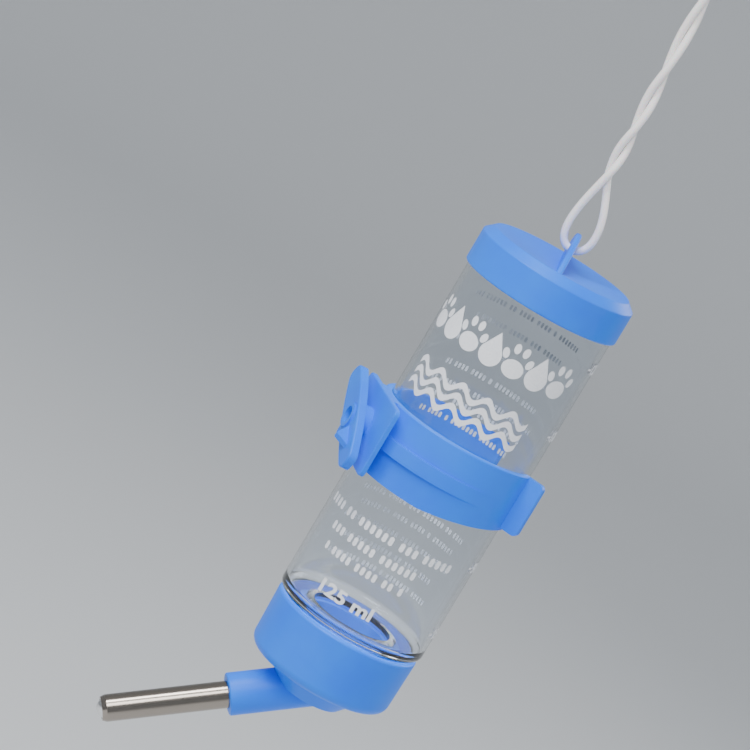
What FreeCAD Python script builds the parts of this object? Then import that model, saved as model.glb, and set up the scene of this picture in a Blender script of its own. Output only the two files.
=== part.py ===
# Small-animal water bottle for a cage: a clear tube with a push-on hanging cap, a screw-on spout cap
# with a two-ball steel nozzle, and a spring clip whose turn button locks behind the cage wires.
#
# Frame: millimetres, +Z up along the bottle. The origin is the centre of the clamp plate's outer
# face, the one the cage wires lie against. The bottle stands behind it at x = axis_x, and the
# turn button and the spout point along -X.
import FreeCAD, Part
import math
import os
import Sketcher
from FreeCAD import Rotation, Vector

doc = FreeCAD.newDocument("CageBottle")
sheet = doc.addObject("Spreadsheet::Sheet", "Sizes")

sizes = {
    # clear tube
    "tube_diameter": 41.0,
    "tube_wall": 1.2,
    "tube_top": 55.5,             # height of the open upper rim
    "tube_base": -48.0,           # underside of the shoulder
    "tube_corner": 2.2,
    "shoulder_thickness": 1.6,
    "neck_diameter": 26.0,
    "neck_wall": 2.0,
    "rim_rounding": 0.4,
    # hanging cap
    "cap_wall": 0.8,
    "cap_height": 11.0,
    "cap_top_thickness": 2.2,
    "cap_chamfer_width": 2.4,
    "cap_chamfer_height": 2.2,
    "cap_dish_depth": 0.8,
    "cap_rim_width": 1.25,       # the flat rim between the chamfer and the dish
    "cap_gap": 0.15,              # radial play between skirt and tube
    "cap_edge_rounding": 0.5,
    "seal_thickness": 1.0,
    "seal_lap": 3.0,              # how far the seal reaches in past the tube's outside
    "fin_thickness": 1.55,
    "fin_end_gap": 0.25,         # from the chamfer's upper edge to the fin's ends
    "fin_rise": 8.2,
    "fin_turn": -19.5,            # the fin stands square to the hanging wire's loop
    "fin_rounding": 0.55,
    "eye_diameter": 3.4,
    "eye_rise": 3.4,
    # spout cap
    "cup_inset": 0.5,             # the rim stands this far inside the tube's outside
    "cup_draft": 0.45,             # how much the radius shrinks towards the bottom
    "cup_height": 16.2,
    "cup_wall": 1.6,
    "cup_floor": 1.8,
    "cup_corner": 2.8,
    "cup_lip_rounding": 0.7,
    "cup_gap": 0.3,               # between the cup's rim and the tube's shoulder
    "collar_wall": 1.6,
    "collar_gap": 0.3,            # radial play round the neck
    "collar_drop": 1.0,           # the collar stops this far under the cup's rim
    "gasket_thickness": 1.2,
    "gasket_lap": 2.0,            # how far the gasket reaches in past the neck's bore
    "gasket_gap": 0.15,
    "boss_height": 5.2,
    "boss_diameter": 27.0,
    "boss_end_diameter": 18.0,
    "well_diameter": 12.0,
    "well_depth": 3.0,
    "spout_drop": 32.5,           # angle of the spout below the horizontal
    "spout_root": 2.9,            # the spout's axis meets the bottle's this far under the cup
    "sleeve_wall": 2.0,
    "sleeve_reach": 21.7,
    "sleeve_back": 3.0,
    "sleeve_rounding": 0.5,
    "passage_step": 0.8,          # the seat that the nozzle tube stops on
    # nozzle tube and balls
    "nozzle_diameter": 7.0,
    "nozzle_wall": 0.5,
    "nozzle_seat": 8.0,           # from the spout's root to the tube's inner end
    "nozzle_reach": 54.0,
    "root_step": 0.2,             # how much thinner the root pressed into the sleeve is, in radius
    "nozzle_taper": 1.2,
    "mouth_lap": 0.2,             # how much smaller the mouth is than the ball, in radius
    "nozzle_lip": 0.35,
    "inlet_lap": 0.8,             # how far the inner end is turned in past the bore
    "ball_play": 0.25,            # radial play of the balls in the tube
    "ball_gap": 0.06,
    # spring clip
    "plate_standoff": 1.25,       # from the hoop's outside to the plate's outer face
    "clip_gap": 0.1,
    "clip_wall": 1.7,
    "clip_height": 18.5,
    "clip_top": 9.5,
    "mouth_front": 41.5,
    "mouth_rear": 34.0,
    "cut_start": 8.0,
    "cut_slope": 7.3,             # degrees that the lower edge rises towards the mouth
    "rib_height": 3.8,
    "rib_base": -1.6,
    "rib_shift": 1.366,
    "rib_swell": 0.434,
    "lip_length": 4.6,
    "lip_thickness": 1.7,
    "lip_height": 14.7,
    "lip_corner": 1.3,
    "clip_rounding": 0.45,
    # clamp plate, turn button and screw
    "plate_width": 31.0,
    "plate_height": 19.0,
    "plate_thickness": 1.3,
    "plate_corner": 1.6,
    "plate_rounding": 0.35,
    "saddle_width": 14.0,
    "slot_gap": 2.3,              # room for the cage wires
    "hub_diameter": 8.4,
    "pivot_diameter": 3.1,
    "pivot_gap": 0.1,
    "button_gap": 0.05,
    "button_length": 33.0,
    "button_width": 8.8,
    "button_end_width": 5.2,      # across the ends, before their corners are rounded
    "button_corner": 2.5,
    "button_thickness": 2.25,
    "button_rounding": 0.5,
    "button_tilt": 31.0,          # angle of the button's long axis below the horizontal
    "button_boss_wall": 1.1,
    "button_boss_rise": 0.6,
    "button_web": 0.8,
    "button_well_play": 0.3,      # radial room round the screw's head
    "grip_lap": 0.5,              # how far the grip reaches into the boss
    "grip_length": 8.9,
    "grip_apex": 5.4,             # from the grip's start to its highest place
    "grip_rise": 3.0,
    "grip_thickness": 1.5,
    "grip_top_length": 0.6,
    "screw_diameter": 1.6,
    "screw_length": 4.4,
    "screw_head_lap": 0.35,       # how far the head reaches past the pivot
    "screw_head_height": 0.7,
    # hanging wire
    "wire_diameter": 1.95,
    "twist_slack": 0.2,           # how much wider the twisted pair is than its two wires
    "knot_height": 4.6,
    "top_loop_diameter": 8.4,
    "wire_gap": 0.05,
}

for row, (alias, number) in enumerate(sizes.items(), start=1):
    sheet.set(f"A{row}", alias)
    sheet.set(f"B{row}", str(number))
    sheet.setAlias(f"B{row}", alias)
doc.recompute()


# Places and sizes that several pieces share, written once as expressions on the sheet.
def s(alias):
    return f"Sizes.{alias}"


def half(alias):
    return f"(Sizes.{alias} / 2)"


tube_radius = half("tube_diameter")
cap_bore = f"({tube_radius} + {s('cap_gap')})"
cap_radius = f"({cap_bore} + {s('cap_wall')})"
cap_base = (f"({s('tube_top')} + {s('seal_thickness')} + {s('cap_top_thickness')}"
            f" - {s('cap_height')})")
cap_top = f"({cap_base} + {s('cap_height')})"
cup_base = f"({s('tube_base')} - {s('cup_gap')} - {s('cup_height')})"
cup_radius = f"({tube_radius} - {s('cup_inset')})"
neck_radius = half("neck_diameter")
neck_bore = f"({neck_radius} - {s('neck_wall')})"
neck_length = (f"({s('cup_height')} + {s('cup_gap')} - {s('cup_floor')}"
               f" - {s('gasket_thickness')})")
collar_bore = f"({neck_radius} + {s('collar_gap')})"
collar_radius = f"({collar_bore} + {s('collar_wall')})"
spout_root_z = f"({cup_base} - {s('spout_root')})"
spout_turn = f"(-90 - {s('spout_drop')})"
clip_bore = f"({tube_radius} + {s('clip_gap')})"
clip_radius = f"({clip_bore} + {s('clip_wall')})"
clip_base = f"({s('clip_top')} - {s('clip_height')})"
axis_x = f"({clip_radius} + {s('plate_standoff')})"
nozzle_radius = half("nozzle_diameter")
nozzle_bore = f"({nozzle_radius} - {s('nozzle_wall')})"
root_radius = f"({nozzle_radius} - {s('root_step')})"
ball_radius = f"({nozzle_bore} - {s('ball_play')})"
mouth_radius = f"({ball_radius} - {s('mouth_lap')})"
sleeve_radius = f"({nozzle_radius} + {s('sleeve_wall')})"
pivot_radius = half("pivot_diameter")
pivot_end = f"({s('slot_gap')} + {s('button_web')} + 2 * {s('button_gap')})"
screw_radius = half("screw_diameter")
screw_head_radius = f"({pivot_radius} + {s('screw_head_lap')})"
button_well_radius = f"({screw_head_radius} + {s('button_well_play')})"
button_boss_radius = f"({button_well_radius} + {s('button_boss_wall')})"
twist_radius = f"({s('wire_diameter')} + {half('twist_slack')})"
knot_radius = f"({twist_radius} + {s('wire_diameter')})"
eye_height = f"({cap_top} + {s('eye_rise')})"


def value(expression):
    return float(sheet.evalExpression(str(expression)))


def place(piece, x=0, y=0, z=0, axis=(0, 0, 1), turn=0):
    # Binds the whole placement: a position and one turn about an axis.
    direction = "; ".join(str(part) for part in axis)
    piece.setExpression("Placement", f"create(<<placement>>; create(<<vector>>; {x}; {y}; {z}); "
                                     f"create(<<rotation>>; create(<<vector>>; {direction}); {turn}))")


def add(kind, name, **bound):
    # A Part primitive whose properties are bound to the sheet.
    piece = doc.addObject(kind, name)
    for key, expression in bound.items():
        piece.setExpression(key, str(expression))
    return piece


def new_body(label):
    body = doc.addObject("PartDesign::Body", label)
    body.Label = label
    return body


def new_sketch(body, name, role):
    sketch = body.newObject("Sketcher::SketchObject", name)
    plane = next(item for item in body.Origin.OriginFeatures if item.Role == role)
    sketch.AttachmentSupport = [(plane, "")]
    sketch.MapMode = "FlatFace"
    return sketch


def fix_point(sketch, line, end, x, y):
    # Ties one end of a sketch element to the sheet, measured from the sketch's origin.
    for kind, axis, expression in (("DistanceX", -2, x), ("DistanceY", -1, y)):
        number = value(expression)
        if abs(number) < 1e-9:
            sketch.addConstraint(Sketcher.Constraint("PointOnObject", line, end, axis))
            continue
        index = sketch.addConstraint(Sketcher.Constraint(kind, -1, 1, line, end, number))
        sketch.setExpression(f"Constraints[{index}]", str(expression))


def outline(sketch, points):
    # A closed outline of straight lines through points given as pairs of expressions.
    corners = [Vector(value(x), value(y), 0) for x, y in points]
    first = sketch.GeometryCount
    count = len(points)
    for index in range(count):
        sketch.addGeometry(Part.LineSegment(corners[index], corners[(index + 1) % count]), False)
    for index in range(count):
        after = first + (index + 1) % count
        sketch.addConstraint(Sketcher.Constraint("Coincident", first + index, 2, after, 1))
    for index, (x, y) in enumerate(points):
        fix_point(sketch, first + index, 1, x, y)


def turned(body, name, points, kind="PartDesign::Revolution"):
    # A full turn of an outline about the body's Z axis; a Groove cuts instead of adding.
    sketch = new_sketch(body, name + "_outline", "XZ_Plane")
    outline(sketch, points)
    feature = body.newObject(kind, name)
    feature.Profile = sketch
    feature.ReferenceAxis = (sketch, ["V_Axis"])
    feature.Angle = 360
    doc.recompute()
    return feature


def rings(shape, radius, height):
    # Names of the full circles of one radius at one height.
    names = []
    for index, edge in enumerate(shape.Edges, start=1):
        if not isinstance(edge.Curve, Part.Circle):
            continue
        same_radius = abs(edge.Curve.Radius - value(radius)) < 1e-4
        if same_radius and abs(edge.Curve.Center.z - value(height)) < 1e-4:
            names.append(f"Edge{index}")
    return names


def round_off(body, name, feature, edges, radius):
    fillet = body.newObject("PartDesign::Fillet", name)
    fillet.Base = (feature, edges)
    fillet.setExpression("Radius", radius)
    doc.recompute()
    return fillet


def soften(base, label, alias, chosen):
    # Rounds the chosen edges of a Part solid.
    doc.recompute()
    radius = value(s(alias))
    fillet = doc.addObject("Part::Fillet", label)
    fillet.Base = base
    fillet.Edges = [(index, radius, radius)
                    for index, edge in enumerate(base.Shape.Edges, start=1) if chosen(edge)]
    doc.recompute()
    return fillet


def make_tube():
    # Open at the top under the cap; the shoulder carries the neck that the spout cap screws on.
    body = new_body("bottle_tube")
    inside = f"({tube_radius} - {s('tube_wall')})"
    length = f"({s('tube_top')} - {s('tube_base')} + {neck_length})"
    floor = f"({neck_length} + {s('shoulder_thickness')})"
    shell = turned(body, "tube_shell", [
        (neck_bore, 0), (neck_radius, 0), (neck_radius, neck_length), (tube_radius, neck_length),
        (tube_radius, length), (inside, length), (inside, floor), (neck_bore, floor)])
    corners = rings(shell.Shape, tube_radius, neck_length) + rings(shell.Shape, inside, floor)
    heel = round_off(body, "tube_heel", shell, corners, s("tube_corner"))
    rim = rings(heel.Shape, tube_radius, length) + rings(heel.Shape, neck_radius, 0)
    round_off(body, "tube_rim", heel, rim, s("rim_rounding"))
    place(body, x=axis_x, z=f"({s('tube_base')} - {neck_length})")
    return body


def make_top_cap():
    # A push-on cap with a dished top and a half-round fin that the hanging wire goes through.
    body = new_body("top_cap")
    radius = cap_radius
    height = s("cap_height")
    shell = turned(body, "cap_shell", [
        (cap_bore, 0), (radius, 0), (radius, f"{height} - {s('cap_chamfer_height')}"),
        (f"{radius} - {s('cap_chamfer_width')}", height), (0, height),
        (0, f"{height} - {s('cap_top_thickness')}"), (cap_bore, f"{height} - {s('cap_top_thickness')}")])
    edge = round_off(body, "cap_edge", shell, rings(shell.Shape, radius, 0)
                     + rings(shell.Shape, radius, f"{height} - {s('cap_chamfer_height')}")
                     + rings(shell.Shape, f"{radius} - {s('cap_chamfer_width')}", height),
                     s("cap_edge_rounding"))

    dish = body.newObject("PartDesign::SubtractiveSphere", "cap_dish")
    half_dish = f"({cap_radius} - {s('cap_chamfer_width')} - {s('cap_rim_width')})"
    dish_radius = f"(({half_dish} ^ 2 + {s('cap_dish_depth')} ^ 2) / (2 * {s('cap_dish_depth')}))"
    dish.setExpression("Radius", dish_radius)
    place(dish, z=f"({height} + {dish_radius} - {s('cap_dish_depth')})")
    doc.recompute()

    # The fin's outline is one arc over a chord sunk into the cap's top.
    sketch = new_sketch(body, "fin_outline", "YZ_Plane")
    half_fin = f"({cap_radius} - {s('cap_chamfer_width')} - {s('fin_end_gap')})"
    fin_radius = f"(({half_fin} ^ 2 + {s('fin_rise')} ^ 2) / (2 * {s('fin_rise')}))"
    centre = f"({height} + {s('fin_rise')} - {fin_radius})"
    chord = f"({height} - {half('cap_top_thickness')})"
    reach = math.sqrt(value(fin_radius) ** 2 - (value(chord) - value(centre)) ** 2)
    middle = Vector(0, value(centre), 0)
    start = math.atan2(value(chord) - value(centre), reach)
    arc = Part.ArcOfCircle(Part.Circle(middle, Vector(0, 0, 1), value(fin_radius)),
                           start, math.pi - start)
    sketch.addGeometry(arc, False)
    sketch.addGeometry(Part.LineSegment(Vector(-reach, value(chord), 0),
                                        Vector(reach, value(chord), 0)), False)
    sketch.addConstraint(Sketcher.Constraint("Coincident", 0, 2, 1, 1))
    sketch.addConstraint(Sketcher.Constraint("Coincident", 1, 2, 0, 1))
    sketch.addConstraint(Sketcher.Constraint("Horizontal", 1))
    fix_point(sketch, 0, 3, 0, centre)
    rise = sketch.addConstraint(Sketcher.Constraint("DistanceY", -1, 1, 1, 1, value(chord)))
    sketch.setExpression(f"Constraints[{rise}]", chord)
    bend = sketch.addConstraint(Sketcher.Constraint("Radius", 0, value(fin_radius)))
    sketch.setExpression(f"Constraints[{bend}]", fin_radius)
    fin = body.newObject("PartDesign::Pad", "hanging_fin")
    fin.Profile = sketch
    fin.Midplane = True
    fin.setExpression("Length", s("fin_thickness"))
    doc.recompute()
    arcs = [f"Edge{index}" for index, item in enumerate(fin.Shape.Edges, start=1)
            if isinstance(item.Curve, Part.Circle)
            and abs(item.Curve.Radius - value(fin_radius)) < 1e-4]
    round_off(body, "fin_edge", fin, arcs, s("fin_rounding"))

    eye = body.newObject("PartDesign::SubtractiveCylinder", "fin_eye")
    eye.setExpression("Radius", half("eye_diameter"))
    eye.setExpression("Height", f"{s('fin_thickness')} * 3")
    place(eye, x=f"(-1.5 * {s('fin_thickness')})", z=f"({height} + {s('eye_rise')})",
          axis=(0, 1, 0), turn=90)
    place(body, x=axis_x, z=cap_base, turn=s("fin_turn"))
    return body


def make_ring(label, inner, outer, height, z):
    # A flat washer about the bottle's axis.
    body = new_body(label)
    turned(body, label + "_ring", [(inner, 0), (outer, 0), (outer, height), (inner, height)])
    place(body, x=axis_x, z=z)
    return body


def make_spout_cap():
    # A cup with an inner collar for the neck; a boss under it carries the slanted sleeve.
    body = new_body("spout_cap")
    radius = cup_radius
    height = s("cup_height")
    foot = f"({radius} - {s('cup_draft')})"
    boss = half("boss_diameter")
    boss_end = half("boss_end_diameter")
    shell = turned(body, "cup_solid", [
        (0, f"-{s('boss_height')}"), (boss_end, f"-{s('boss_height')}"), (boss, 0), (foot, 0),
        (radius, height), (0, height)])
    corner = round_off(body, "cup_corner_round", shell, rings(shell.Shape, foot, 0),
                       s("cup_corner"))
    lip = round_off(body, "cup_lip", corner, rings(corner.Shape, radius, height),
                    s("cup_lip_rounding"))

    sleeve = body.newObject("PartDesign::AdditiveCylinder", "sleeve")
    sleeve.setExpression("Radius", sleeve_radius)
    sleeve.setExpression("Height", f"{s('sleeve_reach')} + {s('sleeve_back')}")
    place(sleeve, x=f"({s('sleeve_back')} * cos({s('spout_drop')} * 1 deg))",
          z=f"(-{s('spout_root')} + {s('sleeve_back')} * sin({s('spout_drop')} * 1 deg))",
          axis=(0, 1, 0), turn=spout_turn)
    doc.recompute()
    drop = math.radians(value(s("spout_drop")))
    reach = value(s("sleeve_reach"))
    mouth = Vector(-reach * math.cos(drop), 0, -value(s("spout_root")) - reach * math.sin(drop))
    end = [f"Edge{index}" for index, edge in enumerate(sleeve.Shape.Edges, start=1)
           if isinstance(edge.Curve, Part.Circle) and edge.Curve.Center.distanceToPoint(mouth) < 1e-3]
    round_off(body, "sleeve_end", sleeve, end, s("sleeve_rounding"))

    # Inside: the neck's socket, the ring-shaped space round the collar, and the well.
    floor = s("cup_floor")
    top = f"({height} + 1)"
    collar_top = f"({height} - {s('collar_drop')})"
    wall_top = f"({radius} - {s('cup_wall')})"
    wall_foot = f"({foot} - {s('cup_wall')})"
    turned(body, "neck_socket", [(0, floor), (collar_bore, floor), (collar_bore, top), (0, top)],
           "PartDesign::Groove")
    turned(body, "outer_space", [(collar_radius, floor), (wall_foot, floor), (wall_top, height),
                                 (wall_top, top), (collar_radius, top)], "PartDesign::Groove")
    turned(body, "collar_step", [(collar_bore, collar_top), (collar_radius, collar_top),
                                 (collar_radius, top), (collar_bore, top)], "PartDesign::Groove")
    well = half("well_diameter")
    turned(body, "well", [(0, f"({floor} - {s('well_depth')})"), (well, f"({floor} - {s('well_depth')})"),
                          (well, floor), (0, floor)], "PartDesign::Groove")
    for name, radius_of, start, end in (
            ("passage", f"({root_radius} - {s('passage_step')})", f"(-{s('sleeve_back')})",
             s("sleeve_reach")),
            ("nozzle_hole", root_radius, s("nozzle_seat"), f"({s('sleeve_reach')} + 1)")):
        hole = body.newObject("PartDesign::SubtractiveCylinder", name)
        hole.setExpression("Radius", radius_of)
        hole.setExpression("Height", f"{end} - {start}")
        place(hole, x=f"(-{start} * cos({s('spout_drop')} * 1 deg))",
              z=f"(-{s('spout_root')} - {start} * sin({s('spout_drop')} * 1 deg))",
              axis=(0, 1, 0), turn=spout_turn)
        doc.recompute()
    place(body, x=axis_x, z=cup_base)
    return body


def along_spout(piece, distance):
    # Stands a piece on the spout's axis, its own +Z pointing out of the spout.
    place(piece, x=f"({axis_x} - {distance} * cos({s('spout_drop')} * 1 deg))",
          z=f"({spout_root_z} - {distance} * sin({s('spout_drop')} * 1 deg))",
          axis=(0, 1, 0), turn=spout_turn)


def make_nozzle():
    # Drawn steel tube: its thinner root is pressed into the sleeve up to a step, a turned-in inner
    # end keeps the balls in, and a rolled tip seats the front ball.
    body = new_body("nozzle_tube")
    inlet = f"({nozzle_bore} - {s('inlet_lap')})"
    length = f"({s('nozzle_reach')} - {s('nozzle_seat')})"
    root = f"({s('sleeve_reach')} - {s('nozzle_seat')})"
    root_bore = f"({root_radius} - {s('nozzle_wall')})"
    shoulder = f"({length} - {s('nozzle_taper')})"
    turned(body, "nozzle_wall", [
        (inlet, 0), (root_radius, 0), (root_radius, root), (nozzle_radius, root), (nozzle_radius, shoulder),
        (f"({mouth_radius} + {s('nozzle_wall')})", length), (mouth_radius, length),
        (mouth_radius, f"({length} - {s('nozzle_lip')})"),
        (nozzle_bore, f"({shoulder} - {s('nozzle_wall')})"),
        (nozzle_bore, f"({root} + {s('root_step')})"), (root_bore, root),
        (root_bore, s("nozzle_wall")), (inlet, s("nozzle_wall"))])
    along_spout(body, s("nozzle_seat"))
    return body


def make_balls():
    # The front ball sits behind the mouth's inner edge, the rear ball on the front one.
    seat = f"sqrt(({ball_radius} + {s('ball_gap')}) ^ 2 - {mouth_radius} ^ 2)"
    front = f"({s('nozzle_reach')} - {s('nozzle_lip')} - {seat})"
    rear = f"({front} - 2 * {ball_radius} - {s('ball_gap')})"
    pieces = []
    for label, distance in (("ball_front", front), ("ball_rear", rear)):
        ball = add("Part::Sphere", label, Radius=ball_radius)
        along_spout(ball, distance)
        pieces.append(ball)
    return pieces


def rod(name, radius, start, end):
    # A round bar along -X between two distances from the plate's outer face.
    bar = add("Part::Cylinder", name, Radius=radius, Height=f"{end} - {start}")
    place(bar, x=f"(-{start})", axis=(0, 1, 0), turn=-90)
    return bar


def box(name, x, y, z, length, width, height):
    block = add("Part::Box", name, Length=length, Width=width, Height=height)
    place(block, x=x, y=y, z=z)
    return block


def parallel(edge, direction):
    if not isinstance(edge.Curve, Part.Line):
        return False
    run = edge.Vertexes[1].Point - edge.Vertexes[0].Point
    return run.cross(direction).Length < 1e-4 * run.Length


def join(name, pieces):
    union = doc.addObject("Part::MultiFuse", name)
    union.Shapes = pieces
    union.Refine = True
    return union


def cut(name, base, tool):
    piece = doc.addObject("Part::Cut", name)
    piece.Base = base
    piece.Tool = tool
    piece.Refine = True
    return piece


def make_clip():
    # An open spring ring with a thumb lip at one end and the clamp plate across its back.
    height = s("clip_height")
    hoop = add("Part::Cylinder", "hoop", Radius=clip_radius, Height=height)
    place(hoop, x=axis_x, z=clip_base)
    rib = add("Part::Cylinder", "rib", Radius=f"{clip_radius} + {s('rib_swell')}",
              Height=s("rib_height"))
    place(rib, x=f"({axis_x} - {s('rib_shift')})", z=s("rib_base"))
    saddle = box("saddle", f"{half('plate_thickness')}", f"(-{half('saddle_width')})", clip_base,
                 f"{half('plate_thickness')} + {s('clip_wall')} * 2", s("saddle_width"), height)
    hoop_and_rib = join("hoop_and_rib", [hoop, rib, saddle])

    bore = add("Part::Cylinder", "bore", Radius=clip_bore, Height=f"{height} * 3")
    place(bore, x=axis_x, z=f"({clip_base} - {height})")
    mouth = add("Part::Cylinder", "mouth", Radius=f"{clip_radius} * 2", Height=f"{height} * 3",
                Angle=f"{s('mouth_front')} + {s('mouth_rear')}")
    place(mouth, x=axis_x, z=f"({clip_base} - {height})", turn=f"(-{s('mouth_front')})")
    slope = add("Part::Box", "slope", Length=s("tube_diameter"), Width=f"{s('tube_diameter')} * 2",
                Height=height)
    place(slope, x=f"({axis_x} - {s('cut_start')} + {height} * sin({s('cut_slope')} * 1 deg))",
          y=f"(-{s('tube_diameter')})",
          z=f"({clip_base} - {height} * cos({s('cut_slope')} * 1 deg))",
          axis=(0, 1, 0), turn=f"(-{s('cut_slope')})")
    opened = cut("opened_hoop", hoop_and_rib, join("hoop_cuts", [bore, mouth, slope]))
    doc.recompute()
    top = value(s("clip_top"))
    edged = soften(opened, "edged_hoop", "clip_rounding", lambda edge: (
        isinstance(edge.Curve, Part.Circle) and abs(edge.Curve.Center.z - top) < 1e-4
        and abs(edge.Curve.Radius - value(clip_radius)) < 1e-4
        and edge.CenterOfMass.x > value(axis_x) - value(clip_radius) * 0.9))

    lip_block = add("Part::Box", "lip_block", Length=f"{s('clip_wall')} + {s('lip_length')}",
                    Width=s("lip_thickness"), Height=s("lip_height"))
    lip = soften(lip_block, "lip_corners", "lip_corner", lambda edge: (
        parallel(edge, Vector(0, 1, 0)) and edge.CenterOfMass.x > value(s("clip_wall"))))
    turn = f"({s('mouth_front')} * 1 deg)"
    place(lip, x=f"({axis_x} + {clip_bore} * cos({turn}) - {s('lip_thickness')} * sin({turn}))",
          y=f"(-{clip_bore} * sin({turn}) - {s('lip_thickness')} * cos({turn}))",
          z=f"({s('clip_top')} - {s('lip_height')})", turn=f"(-{s('mouth_front')})")

    plate_block = box("plate_block", 0, f"(-{half('plate_width')})", f"(-{half('plate_height')})",
                      s("plate_thickness"), s("plate_width"), s("plate_height"))
    plate = soften(plate_block, "plate_corners", "plate_corner",
                   lambda edge: parallel(edge, Vector(1, 0, 0)))
    plate_edge = soften(plate, "plate_edges", "plate_rounding", lambda edge: (
        abs(edge.BoundBox.XMin) < 1e-4 and abs(edge.BoundBox.XMax) < 1e-4))
    hub = rod("hub", half("hub_diameter"), f"(-{half('plate_thickness')})", s("slot_gap"))
    pivot = rod("pivot", pivot_radius, 0, pivot_end)
    solid = join("clip_solid", [edged, lip, plate_edge, hub, pivot])
    screw_hole = rod("screw_hole", screw_radius, f"({pivot_end} - {s('screw_length')})",
                     f"({pivot_end} + 1)")
    clip = cut("clip_ring", solid, screw_hole)
    clip.Label = "clip_ring"
    return clip


def make_button():
    # Long turn button: a leaf-shaped plate, a low boss with a sunk well for the screw, a finger grip.
    near = f"({s('slot_gap')} + {s('button_gap')})"
    far = f"({near} + {s('button_thickness')})"
    taper = f"({half('button_width')} - {half('button_end_width')})"
    side = f"(({half('button_length')} ^ 2 + {taper} ^ 2) / (2 * {taper}))"
    offset = f"({side} - {half('button_width')})"
    halves = []
    for name, y in (("leaf_upper", f"(-{offset})"), ("leaf_lower", offset)):
        disc = add("Part::Cylinder", name, Radius=side, Height=s("button_thickness"))
        place(disc, x=f"(-{near})", z=y, axis=(0, 1, 0), turn=-90)
        halves.append(disc)
    ends = box("leaf_ends", f"(-{far})", f"(-{half('button_length')})", f"(-{s('button_width')})",
               s("button_thickness"), s("button_length"), f"{s('button_width')} * 2")
    leaf = doc.addObject("Part::MultiCommon", "leaf")
    leaf.Shapes = halves + [ends]
    rounded = soften(leaf, "leaf_corners", "button_corner",
                     lambda edge: parallel(edge, Vector(1, 0, 0)))
    outer_x = -value(far)
    edged = soften(rounded, "leaf_edges", "button_rounding", lambda edge: (
        abs(edge.BoundBox.XMin - outer_x) < 1e-4 and abs(edge.BoundBox.XMax - outer_x) < 1e-4))
    boss = rod("button_boss", button_boss_radius, near, f"({far} + {s('button_boss_rise')})")

    # The grip is a triangular fin along the lower half of the button.
    root = f"({far} - {half('button_thickness')})"
    grip = add("Part::Wedge", "grip", Xmin=0, Xmax=s("grip_length"), Ymin=0,
               Ymax=f"{s('grip_rise')} + {half('button_thickness')}", Zmin=0,
               Zmax=s("grip_thickness"), X2min=f"{s('grip_apex')} - {half('grip_top_length')}",
               X2max=f"{s('grip_apex')} + {half('grip_top_length')}", Z2min=0,
               Z2max=s("grip_thickness"))
    place(grip, x=f"(-{root})", y=f"(-({button_boss_radius} - {s('grip_lap')}))",
          z=half("grip_thickness"), axis=(1, -1, 0), turn=180)

    solid = join("button_solid", [edged, boss, grip])
    well_floor = f"({near} + {s('button_web')})"
    well = rod("button_well", button_well_radius, well_floor, f"({far} * 2)")
    play = rod("button_bore", f"{pivot_radius} + {s('pivot_gap')}", 0, f"({far} * 2)")
    button = cut("turn_button", solid, join("button_cuts", [well, play]))
    button.Label = "turn_button"
    place(button, axis=(1, 0, 0), turn=s("button_tilt"))
    return button


def make_screw():
    # Self-tapping screw in the pivot; its head holds the button on.
    body = new_body("button_screw")
    shank = screw_radius
    head = screw_head_radius
    total = f"({s('screw_length')} + {s('screw_head_height')})"
    turned(body, "screw_profile", [
        (0, 0), (f"({shank} * 0.4)", 0), (shank, shank), (shank, s("screw_length")),
        (head, s("screw_length")), (head, f"({total} - {half('screw_head_height')})"),
        (f"({head} - {half('screw_head_height')})", total), (0, total)])
    for name, turn in (("cross_slot_a", 0), ("cross_slot_b", 90)):
        slot = body.newObject("PartDesign::SubtractiveBox", name)
        slot.setExpression("Length", f"{head} * 1.2")
        slot.setExpression("Width", f"{head} * 0.25")
        slot.setExpression("Height", s("screw_head_height"))
        swap = turn == 90
        place(slot, x=f"({head} * 0.125)" if swap else f"(-{head} * 0.6)",
              y=f"(-{head} * 0.6)" if swap else f"(-{head} * 0.125)",
              z=f"({total} - {half('screw_head_height')})", turn=turn)
        doc.recompute()
    place(body, x=f"(-({pivot_end} - {s('screw_length')}))", axis=(0, 1, 0), turn=-90)
    return body


# The hanging wire lies in the plane through the bottle's axis that is square to the fin. Its points
# are (across, height): across is the distance from the bottle's axis, height is above the eye.
loop_points = [(-2.6, 19.6), (-3.9, 10.9), (-4.15, 4.1), (-2.0, 0.6), (1.9, 0.6), (4.0, 4.1),
               (3.3, 10.9), (-0.5, 19.6)]
twist_points = [(-1.6, 19.9), (-1.6, 34.9), (-2.7, 51.9), (-3.2, 71.9)]


def wire_point(across, height):
    turn = math.radians(value(s("fin_turn")))
    return Vector(value(axis_x) + across * math.cos(turn), across * math.sin(turn),
                  value(eye_height) + height)


def route_wire(points):
    # Straight runs joined by tangent arcs, each arc as large as its two runs allow.
    edges, last = [], points[0]
    for before, corner, after in zip(points, points[1:], points[2:]):
        into, out = corner - before, after - corner
        turn = into.getAngle(out)
        shorter = min(into.Length, out.Length)
        radius = 0.45 * shorter / math.tan(turn / 2)
        print(f"  wire bend radius {radius:.1f} mm, {radius / value(s('wire_diameter')):.1f} diameters")
        first = corner - into.normalize() * 0.45 * shorter
        second = corner + out.normalize() * 0.45 * shorter
        middle = (first + second) * 0.5
        centre = corner + (middle - corner).normalize() * (radius / math.cos(turn / 2))
        crown = centre + (corner - centre).normalize() * radius
        edges += [Part.LineSegment(last, first).toShape(), Part.Arc(first, crown, second).toShape()]
        last = second
    edges.append(Part.LineSegment(last, points[-1]).toShape())
    return Part.Wire(edges)


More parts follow.
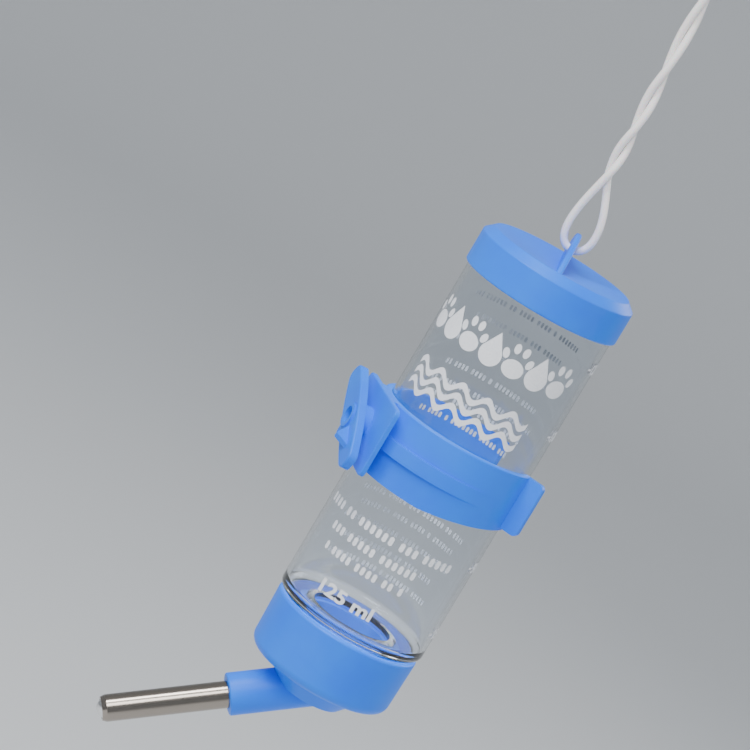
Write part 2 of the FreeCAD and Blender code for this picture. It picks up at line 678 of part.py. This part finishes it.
def make_wire(label, route, diameter):
    # A round bar swept along a route of runs and arcs.
    points = [wire_point(*point) for point in route]
    path = route_wire(points)
    section = Part.Wire(Part.Circle(points[0], points[1] - points[0], diameter / 2).toShape())
    solid = path.makePipeShell([section], True, False)
    expected = math.pi * diameter ** 2 / 4 * path.Length
    print(f"  {label}: length {path.Length:.1f} mm, volume {solid.Volume:.1f}, expected {expected:.1f}")
    piece = doc.addObject("Part::Feature", label)
    piece.Shape = solid
    return piece


def make_knot():
    # The wire's ends wound round the twist, and the loop above them that hangs on a hook.
    across, height = twist_points[-1]
    top = wire_point(across, height + 2 * value(s("wire_gap")))
    knot = add("Part::Cylinder", "hang_wire_knot", Radius=knot_radius, Height=s("knot_height"))
    place(knot, x=top.x, y=top.y, z=top.z)
    loop = add("Part::Torus", "hang_wire_top_loop", Radius1=half("top_loop_diameter"),
               Radius2=half("wire_diameter"))
    place(loop, x=top.x, y=top.y,
          z=f"({top.z} + {s('knot_height')} + {s('wire_gap')} + {half('top_loop_diameter')}"
            f" + {half('wire_diameter')})",
          axis=(math.cos(math.radians(value(s("fin_turn")))),
                math.sin(math.radians(value(s("fin_turn")))), 0), turn=90)
    return [knot, loop]


seal_bore = f"({tube_radius} - {s('seal_lap')})"
pieces = [
    make_tube(),
    make_top_cap(),
    make_ring("top_seal", seal_bore, f"({cap_bore} - {s('cap_gap')})", s("seal_thickness"),
              s("tube_top")),
    make_spout_cap(),
    make_ring("neck_gasket", f"({neck_bore} - {s('gasket_lap')})", f"({collar_bore} - {s('gasket_gap')})",
              s("gasket_thickness"), f"({cup_base} + {s('cup_floor')})"),
    make_nozzle(),
    *make_balls(),
    make_clip(),
    make_button(),
    make_screw(),
    make_wire("hang_wire_loop", loop_points, value(s("wire_diameter"))),
    make_wire("hang_wire_twist", twist_points, 2 * value(twist_radius)),
    *make_knot(),
]
doc.recompute()

for item in doc.Objects:
    if "Invalid" in item.State or "Error" in item.State:
        raise RuntimeError(f"{item.Name} is {item.State}")
os.makedirs("parts", exist_ok=True)
for piece in pieces:
    shape = piece.Shape
    if shape.isNull() or not shape.isValid() or not shape.Solids:
        raise RuntimeError(f"{piece.Label} has no valid solid")
    shape.exportStep(f"parts/{piece.Label}.step")
    box_of = shape.BoundBox
    print(f"{piece.Label}: {len(shape.Solids)} solid, volume {shape.Volume:.1f}, "
          f"x {box_of.XMin:.1f}..{box_of.XMax:.1f} y {box_of.YMin:.1f}..{box_of.YMax:.1f} "
          f"z {box_of.ZMin:.1f}..{box_of.ZMax:.1f}")
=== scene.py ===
import math

import bmesh
import bpy
import numpy as np
from mathutils import Matrix, Vector


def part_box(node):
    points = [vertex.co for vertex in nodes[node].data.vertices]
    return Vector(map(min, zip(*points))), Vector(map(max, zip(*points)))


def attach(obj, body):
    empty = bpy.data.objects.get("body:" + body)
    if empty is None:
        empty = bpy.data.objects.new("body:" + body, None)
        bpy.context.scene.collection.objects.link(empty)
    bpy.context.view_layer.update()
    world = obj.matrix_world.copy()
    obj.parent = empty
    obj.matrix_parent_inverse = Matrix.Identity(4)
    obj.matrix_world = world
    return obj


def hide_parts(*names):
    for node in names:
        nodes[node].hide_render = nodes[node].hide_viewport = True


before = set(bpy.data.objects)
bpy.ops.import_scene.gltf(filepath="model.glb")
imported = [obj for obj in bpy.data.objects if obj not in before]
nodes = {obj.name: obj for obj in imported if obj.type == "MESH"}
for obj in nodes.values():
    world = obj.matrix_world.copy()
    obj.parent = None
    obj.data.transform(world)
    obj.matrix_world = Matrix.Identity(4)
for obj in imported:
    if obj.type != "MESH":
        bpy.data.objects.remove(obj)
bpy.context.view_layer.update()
mm = 0.001


def srgb(hexCode):
    # sRGB hex to the linear colour that shaders take
    parts = [int(hexCode[i:i + 2], 16) / 255 for i in (1, 3, 5)]
    return [c / 12.92 if c <= 0.04045 else ((c + 0.055) / 1.055) ** 2.4 for c in parts] + [1.0]


def newMaterial(name):
    material = bpy.data.materials.new(name)
    material.use_nodes = True
    material.node_tree.nodes.clear()
    return material, material.node_tree


def addNode(tree, kind, settings=None, links=None):
    # settings: node properties or input values by name; links: input name -> output socket
    node = tree.nodes.new(kind)
    for key, value in (settings or {}).items():
        if isinstance(key, str) and hasattr(node, key):
            setattr(node, key, value)
        else:
            node.inputs[key].default_value = value
    for key, socket in (links or {}).items():
        tree.links.new(socket, node.inputs[key])
    return node


def finishMaterial(tree, shader):
    addNode(tree, "ShaderNodeOutputMaterial", {}, {"Surface": shader.outputs[0]})


def addPiece(name, body, material, mesh):
    piece = bpy.data.objects.new(name, mesh)
    bpy.context.scene.collection.objects.link(piece)
    mesh.materials.append(material)
    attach(piece, body)
    return piece


def dress(nodeName, material):
    meshMaterials = nodes[nodeName].data.materials
    meshMaterials.clear()
    meshMaterials.append(material)


tubeLow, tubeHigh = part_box("bottle_tube")
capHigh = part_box("top_cap")[1]
axisX = (tubeLow.x + tubeHigh.x) / 2
tubeRadius = (tubeHigh.x - tubeLow.x) / 2

cameraSet = {
    "lens": 179.5,           # mm on a 36 mm sensor
    "distance": 938 * mm,
    "azimuth": -19.5,        # degrees about the bottle, from straight along +Y
    "elevation": 10.84,      # degrees above the bottle's own level
    "roll": -30.5,           # the bottle leans to the upper right in the frame
    "target": (-1.05 * mm, 8.71 * mm, 10.2 * mm),
}


def makeCamera(values):
    azimuth, elevation = math.radians(values["azimuth"]), math.radians(values["elevation"])
    back = Vector((math.sin(azimuth) * math.cos(elevation), -math.cos(azimuth) * math.cos(elevation),
                   math.sin(elevation)))
    data = bpy.data.cameras.new("camera")
    data.lens = values["lens"]
    data.sensor_width = 36
    data.clip_start, data.clip_end = 0.05, 20
    camera = bpy.data.objects.new("camera", data)
    camera.location = Vector(values["target"]) + back * values["distance"]
    upright = (-back).to_track_quat("-Z", "Y").to_matrix()
    camera.rotation_euler = (upright @ Matrix.Rotation(math.radians(-values["roll"]), 3, "Z")).to_euler()
    bpy.context.scene.collection.objects.link(camera)
    bpy.context.scene.camera = camera


makeCamera(cameraSet)
print("camera placed")

blueMoulding = {"grain": 0.35, "flow": 14.0}   # mm: spark-eroded mould grain, and slow flow marks


def makeBluePlastic():
    # Polypropylene, injection moulded: an even sky blue, satin gloss, a soft glow at thin edges
    material, tree = newMaterial("bluePolypropyleneMoulded")
    place = addNode(tree, "ShaderNodeTexCoord")
    flow = addNode(tree, "ShaderNodeTexNoise", {"Scale": 1 / (blueMoulding["flow"] * mm), "Detail": 3.0,
                                                "Roughness": 0.5}, {"Vector": place.outputs["Object"]})
    tint = addNode(tree, "ShaderNodeValToRGB", {}, {"Fac": flow.outputs["Fac"]})
    tint.color_ramp.elements[0].position, tint.color_ramp.elements[1].position = 0.3, 0.7
    tint.color_ramp.elements[0].color = srgb("#0070fb")
    tint.color_ramp.elements[1].color = srgb("#057dff")
    grain = addNode(tree, "ShaderNodeTexNoise",
                    {"Scale": 1 / (blueMoulding["grain"] * mm), "Detail": 2.0},
                    {"Vector": place.outputs["Object"]})
    gloss = addNode(tree, "ShaderNodeMapRange", {"To Min": 0.36, "To Max": 0.46},
                    {"Value": flow.outputs["Fac"]})
    bump = addNode(tree, "ShaderNodeBump", {"Strength": 0.12, "Distance": 0.03 * mm},
                   {"Height": grain.outputs["Fac"]})
    shader = addNode(tree, "ShaderNodeBsdfPrincipled",
                     {"IOR": 1.49, "Specular IOR Level": 0.25, "Subsurface Weight": 0.2,
                      "Subsurface Scale": 0.8 * mm,
                      "Subsurface Radius": (0.3, 0.6, 1.0)},
                     {"Base Color": tint.outputs["Color"], "Roughness": gloss.outputs["Result"],
                      "Normal": bump.outputs["Normal"]})
    finishMaterial(tree, shader)
    return material


def makeClearPlastic():
    # Polystyrene, moulded and clear: almost no colour, sharp reflections, faint upright draw lines
    material, tree = newMaterial("clearPolystyreneMoulded")
    place = addNode(tree, "ShaderNodeTexCoord")
    stretch = addNode(tree, "ShaderNodeMapping", {"Scale": (1.0, 1.0, 0.02)},
                      {"Vector": place.outputs["Object"]})
    drawn = addNode(tree, "ShaderNodeTexNoise", {"Scale": 1 / (2.5 * mm), "Detail": 2.0},
                    {"Vector": stretch.outputs["Vector"]})
    bump = addNode(tree, "ShaderNodeBump", {"Strength": 0.08, "Distance": 0.05 * mm},
                   {"Height": drawn.outputs["Fac"]})
    shader = addNode(tree, "ShaderNodeBsdfPrincipled",
                     {"Base Color": srgb("#f2f6fa"), "IOR": 1.55, "Roughness": 0.02,
                      "Transmission Weight": 1.0},
                     {"Normal": bump.outputs["Normal"]})
    # lamps reach what stands behind the wall, as they do through thin clear plastic
    path = addNode(tree, "ShaderNodeLightPath")
    through = addNode(tree, "ShaderNodeBsdfTransparent")
    both = addNode(tree, "ShaderNodeMixShader", {}, {"Fac": path.outputs["Is Shadow Ray"]})
    tree.links.new(shader.outputs[0], both.inputs[1])
    tree.links.new(through.outputs[0], both.inputs[2])
    finishMaterial(tree, both)
    return material


spoutSlant = 32.5     # degrees below level: the way the spout's marks of working run
scratchWidth = 0.15   # mm, drawn coarser than the real marks so that they show


def makeSteel(name, base, roughness, streak):
    # Stainless steel: streak is how far the marks of working run, in mm, along the tube
    material, tree = newMaterial(name)
    place = addNode(tree, "ShaderNodeTexCoord")
    lean = addNode(tree, "ShaderNodeMapping",
                   {"vector_type": "POINT", "Rotation": (0, math.radians(-spoutSlant), 0)},
                   {"Vector": place.outputs["Object"]})
    fine = 1 / (scratchWidth * mm)
    stretch = addNode(tree, "ShaderNodeMapping", {"Scale": (1 / (streak * mm), fine, fine)},
                      {"Vector": lean.outputs["Vector"]})
    marks = addNode(tree, "ShaderNodeTexNoise", {"Scale": 1.0, "Detail": 3.0},
                    {"Vector": stretch.outputs["Vector"]})
    gloss = addNode(tree, "ShaderNodeMapRange", {"To Min": roughness * 0.7, "To Max": roughness * 1.4},
                    {"Value": marks.outputs["Fac"]})
    bump = addNode(tree, "ShaderNodeBump", {"Strength": 0.15, "Distance": 0.01 * mm},
                   {"Height": marks.outputs["Fac"]})
    shader = addNode(tree, "ShaderNodeBsdfPrincipled", {"Base Color": srgb(base), "Metallic": 1.0},
                     {"Roughness": gloss.outputs["Result"], "Normal": bump.outputs["Normal"]})
    finishMaterial(tree, shader)
    return material


def makeSilicone():
    # Silicone rubber, moulded: milky and soft, no sharp highlight
    material, tree = newMaterial("milkySiliconeMoulded")
    place = addNode(tree, "ShaderNodeTexCoord")
    grain = addNode(tree, "ShaderNodeTexNoise", {"Scale": 1 / (0.6 * mm), "Detail": 2.0},
                    {"Vector": place.outputs["Object"]})
    bump = addNode(tree, "ShaderNodeBump", {"Strength": 0.2, "Distance": 0.03 * mm},
                   {"Height": grain.outputs["Fac"]})
    shader = addNode(tree, "ShaderNodeBsdfPrincipled",
                     {"Base Color": srgb("#e6e8e8"), "IOR": 1.41, "Roughness": 0.5,
                      "Subsurface Weight": 0.4,
                      "Subsurface Scale": 1.0 * mm},
                     {"Normal": bump.outputs["Normal"]})
    finishMaterial(tree, shader)
    return material


def makeWireCoat():
    # White PVC drawn over steel wire: warm white, soft sheen, faint lengthwise unevenness
    material, tree = newMaterial("whitePvcExtruded")
    place = addNode(tree, "ShaderNodeTexCoord")
    uneven = addNode(tree, "ShaderNodeTexNoise", {"Scale": 1 / (3.0 * mm), "Detail": 3.0},
                     {"Vector": place.outputs["Object"]})
    tint = addNode(tree, "ShaderNodeValToRGB", {}, {"Fac": uneven.outputs["Fac"]})
    tint.color_ramp.elements[0].color = srgb("#f0ebea")
    tint.color_ramp.elements[1].color = srgb("#faf7f5")
    bump = addNode(tree, "ShaderNodeBump", {"Strength": 0.15, "Distance": 0.06 * mm},
                   {"Height": uneven.outputs["Fac"]})
    shader = addNode(tree, "ShaderNodeBsdfPrincipled",
                     {"IOR": 1.53, "Roughness": 0.34, "Subsurface Weight": 0.2,
                      "Subsurface Scale": 0.6 * mm},
                     {"Base Color": tint.outputs["Color"], "Normal": bump.outputs["Normal"]})
    finishMaterial(tree, shader)
    return material


def makeInk():
    # Screen printed ink: opaque white with a slightly uneven, matt film
    material, tree = newMaterial("whiteInkScreenPrinted")
    place = addNode(tree, "ShaderNodeTexCoord")
    film = addNode(tree, "ShaderNodeTexNoise", {"Scale": 1 / (0.5 * mm), "Detail": 3.0},
                   {"Vector": place.outputs["Object"]})
    tint = addNode(tree, "ShaderNodeValToRGB", {}, {"Fac": film.outputs["Fac"]})
    tint.color_ramp.elements[0].color = srgb("#dcdfe6")
    tint.color_ramp.elements[1].color = srgb("#f4f5f8")
    shader = addNode(tree, "ShaderNodeBsdfPrincipled", {"IOR": 1.5, "Roughness": 0.45},
                     {"Base Color": tint.outputs["Color"]})
    finishMaterial(tree, shader)
    return material


bluePlastic = makeBluePlastic()
clearPlastic = makeClearPlastic()
nozzleSteel = makeSteel("stainlessTubeBrushed", "#978f86", 0.16, 12.0)
ballSteel = makeSteel("stainlessBallPolished", "#d4d4d4", 0.08, 0.6)
screwSteel = makeSteel("zincPlatedSteelTurned", "#b9bcc0", 0.3, 0.6)
silicone = makeSilicone()
wireCoat = makeWireCoat()
whiteInk = makeInk()
for nodeName, material in {
        "bottle_tube": clearPlastic, "top_cap": bluePlastic, "spout_cap": bluePlastic, "clip_ring": bluePlastic,
        "turn_button": bluePlastic, "top_seal": silicone, "neck_gasket": silicone, "nozzle_tube": nozzleSteel,
        "ball_front": ballSteel, "ball_rear": ballSteel, "button_screw": screwSteel}.items():
    dress(nodeName, material)
print("materials made")

# Two halves of one bent wire: both leave the eye's middle, and they twist round each other above the cap
hangingWire = {
    "diameter": 1.95 * mm,
    "planeTurn": -19.5,          # degrees: the wire's loop lies square to the cap's fin
    "eyeBelowFinTop": 4.8 * mm,
    # (across, height above the eye) in mm
    "leftLeg": [(-0.05, 0.6), (-2.0, 0.6), (-4.15, 4.1), (-3.9, 10.9)],
    "rightLeg": [(-0.05, 0.6), (1.9, 0.6), (4.0, 4.1), (3.3, 10.9)],
    "twistAxis": [(-1.6, 19.9), (-1.6, 34.9), (-2.7, 51.9), (-3.2, 71.9)],
    "crossings": [21.2, 34.1, 50.5, 71.6],   # mm above the eye where the two strands cross
    "twistEnd": 77.0,            # mm above the eye: half a crossing further, side by side
    "strandGap": 1.03,           # centre to centre, in wire diameters
    "pointsPerTurn": 20,
    # the spline runs inside its points, so the loop's points stand a little outside it
    "topLoop": {"across": -3.2, "height": 81.6, "halfWidth": 4.41, "halfHeight": 4.368},
    "wrap": {"radius": 3.03, "top": 75.6, "bottom": 72.9, "turns": 1.25, "pointsPerTurn": 14},
    "leftLength": 135 * mm,
    "rightLength": 77 * mm,
}


def wirePoint(across, height, depth=0.0):
    turn = math.radians(hangingWire["planeTurn"])
    return Vector((axisX + (across * math.cos(turn) - depth * math.sin(turn)) * mm,
                   (across * math.sin(turn) + depth * math.cos(turn)) * mm,
                   capHigh.z - hangingWire["eyeBelowFinTop"] + height * mm))


def addSpline(curve, points):
    spline = curve.splines.new("NURBS")
    spline.points.add(len(points) - 1)
    for point, place in zip(spline.points, points):
        point.co = (*place, 1)
    spline.order_u = 3
    spline.use_endpoint_u = True
    spline.resolution_u = 8


def axisAcross(height):
    # where the twist's middle stands at a height, read from its own smooth line
    heights = [(point.z - capHigh.z + hangingWire["eyeBelowFinTop"]) / mm for point in twistLine]
    turn = math.radians(hangingWire["planeTurn"])
    sides = [(point.x - axisX) / mm / math.cos(turn) for point in twistLine]
    return float(np.interp(height, heights, sides))


def smoothLine(points):
    # the points that a NURBS spline with these control points passes through
    curve = bpy.data.curves.new("guide", "CURVE")
    curve.dimensions = "3D"
    addSpline(curve, points)
    guide = bpy.data.objects.new("guide", curve)
    line = bpy.data.meshes.new_from_object(guide)
    found = [v.co.copy() for v in line.vertices]
    bpy.data.objects.remove(guide)
    bpy.data.meshes.remove(line)
    return found


def twistPoints(values, side):
    # side 1 is the strand in front at the first crossing; each crossing is half a turn on
    crossings = values["crossings"]
    angles = [math.pi * k for k in range(len(crossings))]
    heights = crossings + [values["twistEnd"]]
    angles.append(angles[-1] + math.pi / 2)
    radius = values["diameter"] / mm * values["strandGap"] / 2 * side
    count = round(angles[-1] / (2 * math.pi) * values["pointsPerTurn"])
    points = []
    for k in range(count + 1):
        angle = angles[-1] * k / count
        height = float(np.interp(angle, angles, heights))
        points.append(wirePoint(axisAcross(height) + radius * math.sin(angle), height,
                                -radius * math.cos(angle)))
    return points


def topLoopPoints(values):
    # up the left, over the top and down the right, then round both strands
    loop, wrap = values["topLoop"], values["wrap"]
    points = [wirePoint(loop["across"] - loop["halfWidth"] * math.cos(math.radians(a)),
                        loop["height"] + loop["halfHeight"] * math.sin(math.radians(a)))
              for a in range(-20, 201, 20)]
    steps = round(wrap["turns"] * wrap["pointsPerTurn"])
    for k in range(steps + 1):
        angle = 2 * math.pi * wrap["turns"] * k / steps
        height = wrap["top"] + (wrap["bottom"] - wrap["top"]) * k / steps
        points.append(wirePoint(loop["across"] + wrap["radius"] * math.cos(angle), height,
                                -wrap["radius"] * math.sin(angle)))
    return points


def makeWireHalf(name, points, replaced):
    curve = bpy.data.curves.new(name, "CURVE")
    curve.dimensions = "3D"
    curve.bevel_depth = hangingWire["diameter"] / 2
    curve.bevel_resolution = 5
    curve.use_fill_caps = True
    addSpline(curve, points)
    half = addPiece(name, "top_cap", wireCoat, curve)
    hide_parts(*replaced)


twistLine = smoothLine([wirePoint(*p) for p in hangingWire["twistAxis"]])
leftPoints = [wirePoint(*p) for p in hangingWire["leftLeg"]] + twistPoints(hangingWire, 1)
leftPoints += topLoopPoints(hangingWire)
rightPoints = [wirePoint(*p) for p in hangingWire["rightLeg"]] + twistPoints(hangingWire, -1)
makeWireHalf("hangWireLeft", leftPoints,
             ("hang_wire_loop", "hang_wire_knot", "hang_wire_top_loop"))
makeWireHalf("hangWireRight", rightPoints, ("hang_wire_twist",))
print("hanging wire made")

# Generic white print on the tube: pictures, rows of dashes for small text, a volume and a scale
tubePrint = {
    "towardView": (-0.3338, -0.9426),    # the side of the tube that faces forward
    "film": 0.02,                        # mm above the tube's wall
    "column": 0.7,                       # mm: how finely a flat outline is cut before it is bent
    # across is mm of arc from the forward line, heights are mm on the bottle
    "pictures": {"from": -27.7, "to": 18.6, "low": 30.0, "high": 39.2, "count": 7},
    "waves": {"from": -22.3, "to": 13.5, "low": 14.2, "high": 23.0, "rows": 3, "thickness": 1.7,
              "length": 7.2},
    "frontLines": [(-25.3, 16.4, -21.1, -18.7), (-18.6, 9.7, -26.2, -23.9), (-17.2, 8.3, -31.3, -29.1)],
    "volume": {"text": "125 ml", "from": -12.0, "to": 3.7, "low": -40.7, "high": -37.0},
    "scale": {"across": 23.6, "tick": 1.6, "thickness": 0.55, "figure": 3.0, "gap": 0.8,
              "ticks": [(40.1, "125"), (20.4, "100"), (0.6, "75"), (-18.6, "50"), (-38.4, "25")]},
    # (height, width) of each row round the back
    "rearLines": [(45.0, 34), (39.6, 36), (34.2, 30), (27.0, 36), (20.2, 32), (15.1, 37), (11.2, 33),
                  (6.4, 30), (-18.3, 36), (-22.4, 33), (-26.9, 37), (-32.2, 30), (-37.5, 34)],
    "rearHeight": 1.5,
    "words": (4, 2, 6, 3, 5, 7, 1, 4),   # blocks in each word, in turn
    "blockWidth": 0.5,                   # of the row's height
    "blockGap": 0.27,
}


def addOutline(build, points):
    build.faces.new([build.verts.new((x, y, 0)) for x, y in points])


def ellipse(x, y, width, height, lean=0.0, count=28):
    turn = math.radians(lean)
    points = []
    for k in range(count):
        angle = 2 * math.pi * k / count
        u, v = width / 2 * math.cos(angle), height / 2 * math.sin(angle)
        points.append((x + u * math.cos(turn) - v * math.sin(turn),
                       y + u * math.sin(turn) + v * math.cos(turn)))
    return points


def dropOutline(x, low, high):
    # a round drop whose sides run up to a point
    radius = (high - low) * 0.33
    middle = low + radius
    points = [(x, high)]
    for k in range(33):
        angle = math.radians(38 - 256 * k / 32)
        points.append((x + radius * math.cos(angle), middle + radius * math.sin(angle)))
    return points


def addPaw(build, x, low, high):
    tall = high - low
    addOutline(build, ellipse(x, low + tall * 0.29, tall * 0.62, tall * 0.52))
    for side, rise, lean in ((-0.36, 0.60, 18), (-0.135, 0.84, 6), (0.135, 0.84, -6), (0.36, 0.60, -18)):
        addOutline(build, ellipse(x + side * tall, low + rise * tall, tall * 0.19, tall * 0.29, lean))


def addWave(build, left, right, middle, values):
    count = 72
    rise = values["thickness"] * 0.75
    rows = []
    for k in range(count + 1):
        x = left + (right - left) * k / count
        y = middle + rise * math.sin(2 * math.pi * (x - left) / values["length"])
        rows.append([build.verts.new((x, y - values["thickness"] / 2, 0)),
                     build.verts.new((x, y + values["thickness"] / 2, 0))])
    for a, b in zip(rows, rows[1:]):
        build.faces.new((a[0], b[0], b[1], a[1]))


def addWordRow(build, left, right, low, high, first):
    # small blocks stand for letters: each word has its own number of them
    tall = high - low
    wide, gap, corner = tall * tubePrint["blockWidth"], tall * tubePrint["blockGap"], tall * 0.16
    x, turn = left, first
    while x + wide <= right:
        for _ in range(tubePrint["words"][turn % len(tubePrint["words"])]):
            if x + wide > right:
                break
            addOutline(build, [(x + corner, low), (x + wide - corner, low), (x + wide, low + corner),
                               (x + wide, high - corner), (x + wide - corner, high), (x + corner, high),
                               (x, high - corner), (x, low + corner)])
            x += wide + gap
        x += gap * 2
        turn += 1


def addFigure(build, text, left, low, high, right=None):
    # figures in the plain built-in face, scaled to a height and, where given, to a width
    curve = bpy.data.curves.new("figure", "FONT")
    curve.body = text
    curve.resolution_u = 4
    curve.offset = 0.035          # a bolder face
    holder = bpy.data.objects.new("figure", curve)
    flat = bpy.data.meshes.new_from_object(holder)
    xs, ys = [v.co.x for v in flat.vertices], [v.co.y for v in flat.vertices]
    tall = (high - low) / (max(ys) - min(ys))
    wide = (right - left) / (max(xs) - min(xs)) if right is not None else tall
    made = [build.verts.new((left + (v.co.x - min(xs)) * wide, low + (v.co.y - min(ys)) * tall, 0))
            for v in flat.vertices]
    for polygon in flat.polygons:
        build.faces.new([made[k] for k in polygon.vertices])
    bpy.data.objects.remove(holder)
    bpy.data.meshes.remove(flat)
    bpy.data.curves.remove(curve)


def bendOnTube(name, build, turned=0.0):
    # cut the flat print into narrow upright strips, bend it round the tube and let it ride on the bottle
    across = [v.co.x for v in build.verts]
    cut = math.floor(min(across) / tubePrint["column"]) * tubePrint["column"]
    while cut < max(across):
        cut += tubePrint["column"]
        bmesh.ops.bisect_plane(build, geom=build.verts[:] + build.edges[:] + build.faces[:], dist=1e-5,
                               plane_co=(cut, 0, 0), plane_no=(1, 0, 0))
    radius = tubeRadius / mm + tubePrint["film"]
    toward = Vector((*tubePrint["towardView"], 0))
    right = Vector((-toward.y, toward.x, 0))
    for vert in build.verts:
        angle = vert.co.x / radius + math.radians(turned)
        out = toward * math.cos(angle) + right * math.sin(angle)
        vert.co = Vector((axisX, 0, vert.co.y * mm)) + out * radius * mm
    mesh = bpy.data.meshes.new(name)
    build.to_mesh(mesh)
    build.free()
    return addPiece(name, "bottle", whiteInk, mesh)


def makePrint(values):
    pictures = values["pictures"]
    build = bmesh.new()
    pitch = (pictures["to"] - pictures["from"]) / pictures["count"]
    for k in range(pictures["count"]):
        x = pictures["from"] + pitch * (k + 0.5)
        if k % 2:
            addOutline(build, dropOutline(x, pictures["low"], pictures["high"]))
        else:
            addPaw(build, x, pictures["low"], pictures["high"])
    bendOnTube("printPictures", build)

    waves = values["waves"]
    build = bmesh.new()
    for row in range(waves["rows"]):
        middle = waves["low"] + (waves["high"] - waves["low"]) * (row + 0.5) / waves["rows"]
        addWave(build, waves["from"], waves["to"], middle, waves)
    bendOnTube("printWaves", build)

    build = bmesh.new()
    for row, (left, right, low, high) in enumerate(values["frontLines"]):
        addWordRow(build, left, right, low, high, row * 3)
    bendOnTube("printFrontLines", build)

    volume = values["volume"]
    build = bmesh.new()
    addFigure(build, volume["text"], volume["from"], volume["low"], volume["high"], volume["to"])
    bendOnTube("printVolume", build)

    scale = values["scale"]
    build = bmesh.new()
    for height, text in scale["ticks"]:
        low, high = height - scale["thickness"] / 2, height + scale["thickness"] / 2
        addOutline(build, [(scale["across"], low), (scale["across"] + scale["tick"], low),
                           (scale["across"] + scale["tick"], high), (scale["across"], high)])
        addFigure(build, text, scale["across"] + scale["tick"] + scale["gap"], height - scale["figure"] / 2,
                  height + scale["figure"] / 2)
    bendOnTube("printScale", build)

    build = bmesh.new()
    for row, (height, width) in enumerate(values["rearLines"]):
        addWordRow(build, -width / 2, width / 2, height - values["rearHeight"] / 2,
                   height + values["rearHeight"] / 2, row * 5)
    bendOnTube("printRearLines", build, turned=180)


makePrint(tubePrint)
print("print made")

# metres, but for the floor's height
stageSet = {"floorZ": -400 * mm, "reach": 2.4, "bend": 0.9, "wallTop": 1.8, "segments": 72,
            "colour": "#e6e8ea"}


def makeStage(values):
    # a pale round sweep: level under the bottle, and curving up into a wall on every side
    profile = [(0.0, values["floorZ"]), (values["reach"] * 0.5, values["floorZ"])]
    for step in range(13):
        angle = math.radians(90 * step / 12)
        profile.append((values["reach"] + values["bend"] * math.sin(angle),
                        values["floorZ"] + values["bend"] * (1 - math.cos(angle))))
    profile.append((values["reach"] + values["bend"], values["wallTop"]))
    build = bmesh.new()
    line = [build.verts.new((reach, 0, z)) for reach, z in profile]
    edges = [build.edges.new(pair) for pair in zip(line, line[1:])]
    bmesh.ops.spin(build, geom=line + edges, cent=(0, 0, 0), axis=(0, 0, 1), angle=math.tau,
                   steps=values["segments"], use_merge=True)
    bmesh.ops.remove_doubles(build, verts=build.verts, dist=1e-5)
    for face in build.faces:
        face.smooth = True
    mesh = bpy.data.meshes.new("sweep")
    build.to_mesh(mesh)
    build.free()
    sweep = bpy.data.objects.new("sweep", mesh)
    bpy.context.scene.collection.objects.link(sweep)
    material, tree = newMaterial("palePaperMatt")
    shader = addNode(tree, "ShaderNodeBsdfPrincipled",
                     {"Base Color": srgb(values["colour"]), "Roughness": 0.9, "Specular IOR Level": 0.1})
    finishMaterial(tree, shader)
    mesh.materials.append(material)


# place and size in metres, power in watts; every light looks at the middle of the bottle
studioLights = {
    "keyLight": {"place": (-0.7, -1.0, 0.9), "size": (0.7, 0.7), "power": 14},
    "fillLight": {"place": (1.0, -0.8, 0.4), "size": (0.8, 0.8), "power": 4},
    "backLight": {"place": (1.1, 0.7, 0.5), "size": (0.8, 0.5), "power": 5},
    "topLight": {"place": (-0.55, -0.2, 1.0), "size": (0.3, 0.9), "power": 14},
}
lightTarget = Vector((0.02, 0, 0.01))
skyLight = {"colour": "#dfe4ea", "strength": 0.55}


def addLight(name, values):
    data = bpy.data.lights.new(name, "AREA")
    data.shape = "RECTANGLE"
    data.size, data.size_y = values["size"]
    data.energy = values["power"]
    light = bpy.data.objects.new(name, data)
    light.location = values["place"]
    light.rotation_euler = (lightTarget - Vector(values["place"])).to_track_quat("-Z", "Y").to_euler()
    bpy.context.scene.collection.objects.link(light)


def lightWorld(values):
    world = bpy.data.worlds.new("studio")
    world.use_nodes = True
    background = world.node_tree.nodes["Background"]
    background.inputs["Color"].default_value = srgb(values["colour"])
    background.inputs["Strength"].default_value = values["strength"]
    bpy.context.scene.world = world


makeStage(stageSet)
for lightName, lightValues in studioLights.items():
    addLight(lightName, lightValues)
lightWorld(skyLight)
print("stage and lights placed")
